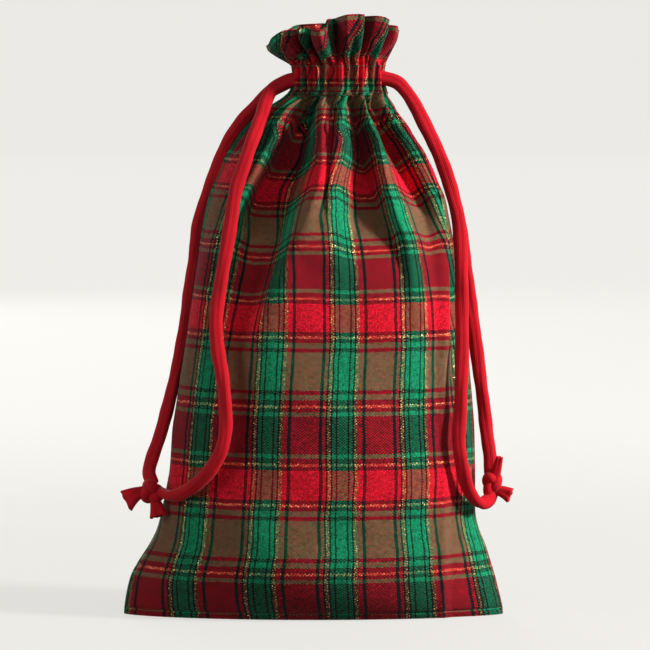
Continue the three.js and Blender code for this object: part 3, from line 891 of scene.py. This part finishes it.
def make_stitches(name, z, pitch=2.5, length=1.7, radius=0.28):
    """A row of running stitches that dips in and out of the gathers round the neck."""
    vertices, faces = [], []
    for back in (False, True):
        x, y, heights, _ = fitted_row(z, back, 0)
        gone = row_length(x, y)
        side = 1 if back else -1
        for start in np.arange(1.0, gone[-1] - length - 1, pitch):
            at = start + np.linspace(0, length, 5)
            px, py = np.interp(at, gone, x), np.interp(at, gone, y)
            ahead = np.stack([np.gradient(px), np.gradient(py), np.zeros(5)], 1)
            ahead /= np.linalg.norm(ahead, axis=1)[:, None]
            out = np.stack([-ahead[:, 1] * side, ahead[:, 0] * side, np.zeros(5)], 1)
            pz = z + 0.25 * math.sin(start * 1.7)
            line = np.stack([px, py, np.full(5, pz)], 1)
            arch = np.array([-0.25, 0.16, 0.26, 0.16, -0.25])[:, None]
            line = line + out * arch
            first = len(vertices)
            for i in range(5):
                for k in range(6):
                    turn = 2 * math.pi * k / 6
                    lift = np.array([0, 0, math.sin(turn) * radius])
                    vertices.append(line[i] + out[i] * math.cos(turn) * radius + lift)
            for i in range(4):
                for k in range(6):
                    m = (k + 1) % 6
                    row = first + i * 6
                    faces.append((row + k, row + m, row + 6 + m, row + 6 + k))
            faces.append(tuple(first + k for k in range(6))[::-1])
            faces.append(tuple(first + 24 + k for k in range(6)))
    return mesh_object(name, vertices, faces)


# ---- Cords ----------------------------------------------------------------------------------


def smooth_path(points, step=1.0):
    """The centripetal Catmull-Rom curve through the points, in steps of about step."""
    p = np.asarray(points, float)
    p = np.vstack([2 * p[0] - p[1], p, 2 * p[-1] - p[-2]])
    line = []
    for i in range(1, len(p) - 2):
        p0, p1, p2, p3 = p[i - 1 : i + 3]
        t0 = 0.0
        t1 = t0 + np.linalg.norm(p1 - p0) ** 0.5
        t2 = t1 + np.linalg.norm(p2 - p1) ** 0.5
        t3 = t2 + np.linalg.norm(p3 - p2) ** 0.5
        n = max(2, int(np.linalg.norm(p2 - p1) / step))
        for t in np.linspace(t1, t2, n, endpoint=False):
            a1 = (t1 - t) / (t1 - t0) * p0 + (t - t0) / (t1 - t0) * p1
            a2 = (t2 - t) / (t2 - t1) * p1 + (t - t1) / (t2 - t1) * p2
            a3 = (t3 - t) / (t3 - t2) * p2 + (t - t2) / (t3 - t2) * p3
            b1 = (t2 - t) / (t2 - t0) * a1 + (t - t0) / (t2 - t0) * a2
            b2 = (t3 - t) / (t3 - t1) * a2 + (t - t1) / (t3 - t1) * a3
            line.append((t2 - t) / (t2 - t1) * b1 + (t - t1) / (t2 - t1) * b2)
    line.append(p[-2])
    return np.array(line)


def tube(name, line, width, thickness, wide=(1, 0, 0), twist=0.0, crease=0.35, sides=28,
         scale=None, closed=False):
    """A flattened jersey tube along a line of points. wide is the way its flat side lies."""
    line = np.asarray(line, float)
    n = len(line)
    tangent = np.gradient(line, axis=0)
    if closed:
        tangent = np.roll(line, -1, 0) - np.roll(line, 1, 0)
    tangent /= np.linalg.norm(tangent, axis=1)[:, None]
    across = np.tile(np.asarray(wide, float), (n, 1))
    across -= (across * tangent).sum(1)[:, None] * tangent
    across /= np.linalg.norm(across, axis=1)[:, None]
    out = np.cross(tangent, across)
    length = np.concatenate([[0], np.cumsum(np.linalg.norm(np.diff(line, axis=0), axis=1))])
    turn = twist * length / max(length[-1], 1)
    turn = turn + 0.16 * np.sin(length * 0.11 + width)
    cos, sin = np.cos(turn)[:, None], np.sin(turn)[:, None]
    across, out = across * cos + out * sin, out * cos - across * sin
    scale = np.ones(n) if scale is None else np.asarray(scale)
    rings = []
    for k in range(sides):
        angle = 2 * math.pi * k / sides
        x = math.cos(angle) * width / 2
        y = math.sin(angle) * thickness / 2
        # A soft lengthwise crease, where the knit rolls in on itself.
        dent = crease * math.exp(-(((x - 0.12 * width) / (0.09 * width)) ** 2))
        y -= math.copysign(dent, y) if abs(y) > 0.3 else 0
        plump = 1 + 0.035 * np.sin(length * 0.21 + 2 * angle) + 0.02 * np.sin(length * 0.53)
        rings.append(line + (across * x + out * y) * (plump * scale)[:, None])
    grid = np.stack(rings, 1)
    index = np.arange(n * sides).reshape(n, sides)
    if closed:
        index = np.vstack([index, index[:1]])
    faces = []
    for i in range(len(index) - 1):
        for k in range(sides):
            m = (k + 1) % sides
            faces.append((index[i, k], index[i, m], index[i + 1, m], index[i + 1, k]))
    vertices = list(grid.reshape(-1, 3))
    if not closed:
        for row, flip in ((0, True), (n - 1, False)):
            vertices.append(line[row])
            hub = len(vertices) - 1
            for k in range(sides):
                m = (k + 1) % sides
                loop = (index[row, m], index[row, k], hub)
                faces.append(loop if flip else loop[::-1])
    faces = [tuple(int(i) for i in f) for f in faces]
    made = mesh_object(name, vertices, faces)
    layer = made.data.uv_layers.new(name="cord")
    for polygon in made.data.polygons:
        ks = [made.data.loops[i].vertex_index % sides for i in polygon.loop_indices]
        wraps = max(ks) == sides - 1 and min(ks) == 0
        for i, k in zip(polygon.loop_indices, ks):
            vertex = made.data.loops[i].vertex_index
            along = length[min(vertex // sides, n - 1)]
            u = (k if not (wraps and k == 0) else sides) / sides
            layer.data[i].uv = (u, along / 100)
    return made


def flared_tail(name, root, tip, width, thickness, droop):
    """A cut end of the cord, which opens and curls as the knit spreads."""
    root, tip = np.asarray(root, float), np.asarray(tip, float)
    steps = 22
    t = np.linspace(0, 1, steps)
    line = root + (tip - root) * t[:, None]
    line[:, 2] += droop * np.sin(math.pi * t)
    ahead = tip - root
    ahead /= np.linalg.norm(ahead)
    wide = np.cross(ahead, (0, 1, 0))
    wide /= np.linalg.norm(wide)
    flat = np.cross(ahead, wide)
    sides = 24
    vertices = []
    w = 5.2 + (width - 5.2) * t**1.6
    h = 4.6 + (thickness - 4.6) * t
    for i in range(steps):
        for k in range(sides):
            angle = 2 * math.pi * k / sides
            x = math.cos(angle)
            y = math.sin(angle)
            fold = 1 - 0.38 * t[i] * math.exp(-((x / 0.3) ** 2))
            ragged = (0.28 * math.sin(5 * angle + width) + 0.12 * math.sin(9 * angle)) * t[i] ** 8
            point = line[i] + wide * x * w[i] / 2 + flat * y * fold * h[i] / 2
            vertices.append(point + ahead * ragged)
    faces = []
    for i in range(steps - 1):
        for k in range(sides):
            m = (k + 1) % sides
            faces.append((i * sides + k, i * sides + m, (i + 1) * sides + m, (i + 1) * sides + k))
    # The cut end is a hollow with a rolled lip.
    last = (steps - 1) * sides
    for depth, shrink in ((0.4, 0.86), (-0.6, 0.66), (-2.2, 0.45)):
        start = len(vertices)
        for k in range(sides):
            edge = np.asarray(vertices[last + k])
            vertices.append(line[-1] + (edge - line[-1]) * shrink + ahead * depth)
        previous = start - sides if start > last + sides else last
        for k in range(sides):
            m = (k + 1) % sides
            faces.append((previous + k, previous + m, start + m, start + k))
    vertices.append(line[-1] - ahead * 2.6)
    hub = len(vertices) - 1
    ring = hub - sides
    faces += [(ring + k, ring + (k + 1) % sides, hub) for k in range(sides)]
    vertices.append(line[0])
    hub = len(vertices) - 1
    faces += [((k + 1) % sides, k, hub) for k in range(sides)]
    made = mesh_object(name, vertices, faces)
    layer = made.data.uv_layers.new(name="cord")
    for loop in made.data.loops:
        vertex = loop.vertex_index
        layer.data[loop.index].uv = ((vertex % sides) / sides, (vertex // sides) * 0.005)
    return made


def tied_knot(name, centre, size, tilt):
    """A tight overhand knot: one closed run of cord that winds over and under itself."""
    t = np.linspace(0, 2 * math.pi, 120, endpoint=False)
    x = np.sin(t) + 1.9 * np.sin(2 * t)
    y = np.cos(t) - 1.9 * np.cos(2 * t)
    z = -np.sin(3 * t) * 1.25
    size = np.asarray(size, float)
    points = np.stack([x / 2.9 * size[0], z / 1.25 * size[1], y / 2.9 * size[2]], 1)
    cos, sin = math.cos(tilt), math.sin(tilt)
    points = np.stack([
        points[:, 0] * cos + points[:, 2] * sin,
        points[:, 1],
        points[:, 2] * cos - points[:, 0] * sin,
    ], 1)
    line = points + np.asarray(centre, float)
    return tube(name, line, 6.6, 5.4, wide=(0.2, 1, 0.1), closed=True, crease=0.2)


LOW_CORD = 262.55
HIGH_CORD = 269.55

# Where each strand goes, from inside the casing down to its knot.
STRANDS = {
    ("left", "front"): [
        (-3, -3.7, LOW_CORD + 3.4), (-10.7, -3.7, LOW_CORD + 3.2), (-16, -4.2, 263.6),
        (-20.5, -5.5, 260.6), (-23.6, -8.5, 254.5), (-25.5, -14, 247.5), (-30.5, -23, 234.6),
        (-34.7, -26.3, 222), (-37.7, -28, 212.8), (-39.6, -29, 202), (-41, -30.4, 192),
        (-45.4, -34, 165.7), (-47, -35.6, 154), (-47.4, -37, 143), (-46.4, -38.4, 133.5),
        (-44.2, -40, 121), (-42.8, -41, 105), (-42.8, -41.4, 96), (-44.6, -41, 86.5),
        (-48.6, -39, 78.4), (-54.4, -36, 71), (-61.3, -31.4, 65.4), (-68.6, -23.4, 61.4),
        (-75, -12, 62),
    ],
    ("left", "back"): [
        (-3, 3.7, LOW_CORD + 3), (-10.7, 3.7, LOW_CORD + 2.6), (-16.4, 4, 262.8),
        (-22, 4.4, 259.4), (-28, 4.8, 252.8), (-34.5, 5.4, 246), (-40.7, 6.4, 237.6),
        (-45, 7.4, 229), (-50.8, 8.6, 213.8), (-53.5, 9, 206), (-57, 10, 194),
        (-59.2, 12.4, 177), (-61.8, 14.4, 160), (-64, 15.4, 143), (-67.2, 15, 125.5),
        (-71.2, 11, 108.6), (-74.8, 6, 94.5), (-77.2, 2.6, 86.5), (-80, -1.2, 78.6),
        (-81.6, -5, 71), (-79.6, -8, 66),
    ],
    ("right", "front"): [
        (28, -3.7, HIGH_CORD - 2), (35.4, -3.7, HIGH_CORD - 3.2), (41.6, -4, 264.2),
        (46.4, -4.5, 259), (50.2, -5, 253), (54.8, -6, 244), (59.3, -7.2, 235),
        (63.4, -9, 225.5), (67, -10.5, 215), (69.4, -11.8, 206), (71.2, -13, 198),
        (72.4, -14.6, 186), (72.9, -18, 166), (73, -23, 137), (72.7, -25.6, 122),
        (72.2, -27.4, 105), (71.3, -28.8, 90), (72, -28.2, 82), (73.3, -26.8, 75),
        (75.2, -24.2, 67.6), (79, -19.8, 60), (83, -15.6, 57), (87, -11.6, 58.6),
        (88.6, -9.4, 62.5),
    ],
    ("right", "back"): [
        (28, 3.7, HIGH_CORD - 2), (35.4, 3.7, HIGH_CORD - 3.2), (41.6, 4, 264.2),
        (46.4, 4.5, 259), (50.2, 5.4, 253), (54.8, 7, 244), (59.3, 9, 235), (63.4, 11, 225.5),
        (67.2, 12.6, 215), (70, 13.6, 206), (72.6, 14.4, 194), (76.4, 14.2, 168),
        (78.8, 12.4, 150), (80.6, 10.4, 136), (82.8, 8.6, 119), (84.8, 5.4, 103),
        (86.4, 0.6, 88), (87.6, -3.4, 79), (88, -7, 71),
    ],
}


def make_cords(knit):
    """Both cords. Each strand runs between its sliding end and the loop that hangs from it."""
    knots = {
        "left": ((-80, -9.5, 62.2), (4.2, 2.8, 3.6), 0.75),
        "right": ((88.2, -8.3, 66.2), (2.6, 2.5, 4.7), 0.2),
    }
    tails = {
        "left": [
            ((-83, -10, 62.8), (-92.6, -12, 57.8), 11.5, 5, 0.8),
            ((-78.6, -11, 59), (-76.4, -13.4, 50.6), 9.6, 5, 0.3),
        ],
        "right": [
            ((89.6, -10, 68.5), (92, -13, 79.4), 3.4, 3.2, 0.2),
            ((90.4, -9.4, 63), (97.2, -11, 60.4), 7.8, 6.2, 0.4),
        ],
    }
    for side in ("left", "right"):
        centre, size, tilt = knots[side]
        knot = tied_knot(f"{side}_tied_knot", centre, size, tilt)
        ends = [
            flared_tail(f"{side}_cut_tail_{letter}", *tail)
            for letter, tail in zip("ab", tails[side])
        ]
        for piece in (knot, *ends):
            piece.data.materials.append(knit)
            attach(piece, f"{side}_loop")
        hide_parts(f"{side}_knot")
        for letter, tail in zip("ab", ends):
            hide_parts(f"{side}_knot_tail_{letter}")
        for place in ("front", "back"):
            line = smooth_path(STRANDS[(side, place)])
            strand = tube(f"{side}_{place}_jersey_strand", line, 6.9, 5.3, twist=0.5, crease=0.42)
            strand.data.materials.append(knit)
            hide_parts(f"{side}_{place}_strand", f"{side}_{place}_cord_end")
            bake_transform(strand)


def make_casing_runs(knit):
    """The hidden part of each cord, round the inside of the casing."""
    for side, sign, height in (("left", -1, LOW_CORD), ("right", 1, HIGH_CORD)):
        angles = np.linspace(-2.45, 2.45, 80)
        line = np.stack([
            NECK_MIDDLE - sign * 17.2 * np.cos(angles),
            13.4 * np.sin(angles),
            np.full(80, height),
        ], 1)
        run = tube(f"{side}_jersey_run", line, 5.6, 4.2, wide=(0, 0, 1), sides=12)
        run.data.materials.append(knit)
        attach(run, "sack")
        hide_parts(f"{side}_cord_casing_run")


make_camera()
knit = knit_material()
make_cords(knit)
make_casing_runs(knit)
make_floor()
make_lights()

plaid = plaid_material()
for name, back in (("front", False), ("back", True)):
    panel = make_panel(f"{name}_plaid_panel", back)
    panel.data.materials.append(plaid)
    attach(panel, "sack")
    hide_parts(f"{name}_panel", f"{name}_casing")

thread = thread_material()
for level, height in (("upper", NECK_HIGH), ("lower", NECK_LOW)):
    stitches = make_stitches(f"{level}_running_stitches", height)
    stitches.data.materials.append(thread)
    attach(stitches, "sack")
    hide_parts(f"{level}_casing_stitching")
for node in ("left_side_seam", "right_side_seam", "bottom_seam"):
    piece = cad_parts[node]
    piece.data.materials.clear()
    piece.data.materials.append(thread)
